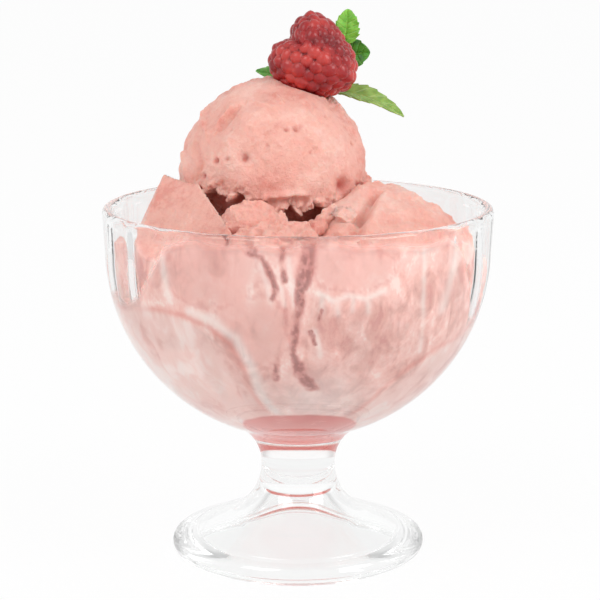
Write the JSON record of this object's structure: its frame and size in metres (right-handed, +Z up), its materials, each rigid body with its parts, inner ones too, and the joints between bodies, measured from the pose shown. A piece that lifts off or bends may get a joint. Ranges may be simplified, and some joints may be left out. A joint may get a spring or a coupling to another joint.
{
  "type": "dessert bowl",
  "caption": "Footed clear glass dessert bowl with a fluted inner wall, served with scoops of pink ice cream, a raspberry and a mint sprig that lift out.",
  "frame": {"origin": "middle of the ring the foot stands on, at the table", "axes": "+Z up along the axis of the glass, -Y toward the side shown in the picture, +X to the right of that side"},
  "size_m": [0.112, 0.112, 0.1589],
  "materials": {
    "clear_glass": "clear pressed soda-lime glass, fire polished",
    "melted_ice_cream": "wet, milky melted ice cream",
    "ice_cream": "frozen raspberry ice cream, matt and slightly grainy",
    "berry_red": "fresh raspberry, soft sheen",
    "mint_green": "fresh mint leaf, satin"
  },
  "bodies": {
    "glass": {"glass_bowl": "clear_glass", "melt": "melted_ice_cream"},
    "dessert": {"scoop_left": "ice_cream", "scoop_right": "ice_cream", "scoop_rear": "ice_cream", "scoop_middle": "ice_cream", "scoop_top": "ice_cream"},
    "garnish": {"raspberry": "berry_red", "mint_stem": "mint_green", "mint_leaf_top": "mint_green", "mint_leaf_side": "mint_green", "mint_leaf_left": "mint_green", "mint_leaf_right": "mint_green"}
  },
  "joints": [
    {"name": "dessert_lift", "type": "slide", "parent": "glass", "child": "dessert", "axis": [0, 0, 1], "range_m": [0, 0.06]},
    {"name": "garnish_lift", "type": "slide", "parent": "dessert", "child": "garnish", "axis": [0, 0, 1], "range_m": [0, 0.035]}
  ]
}
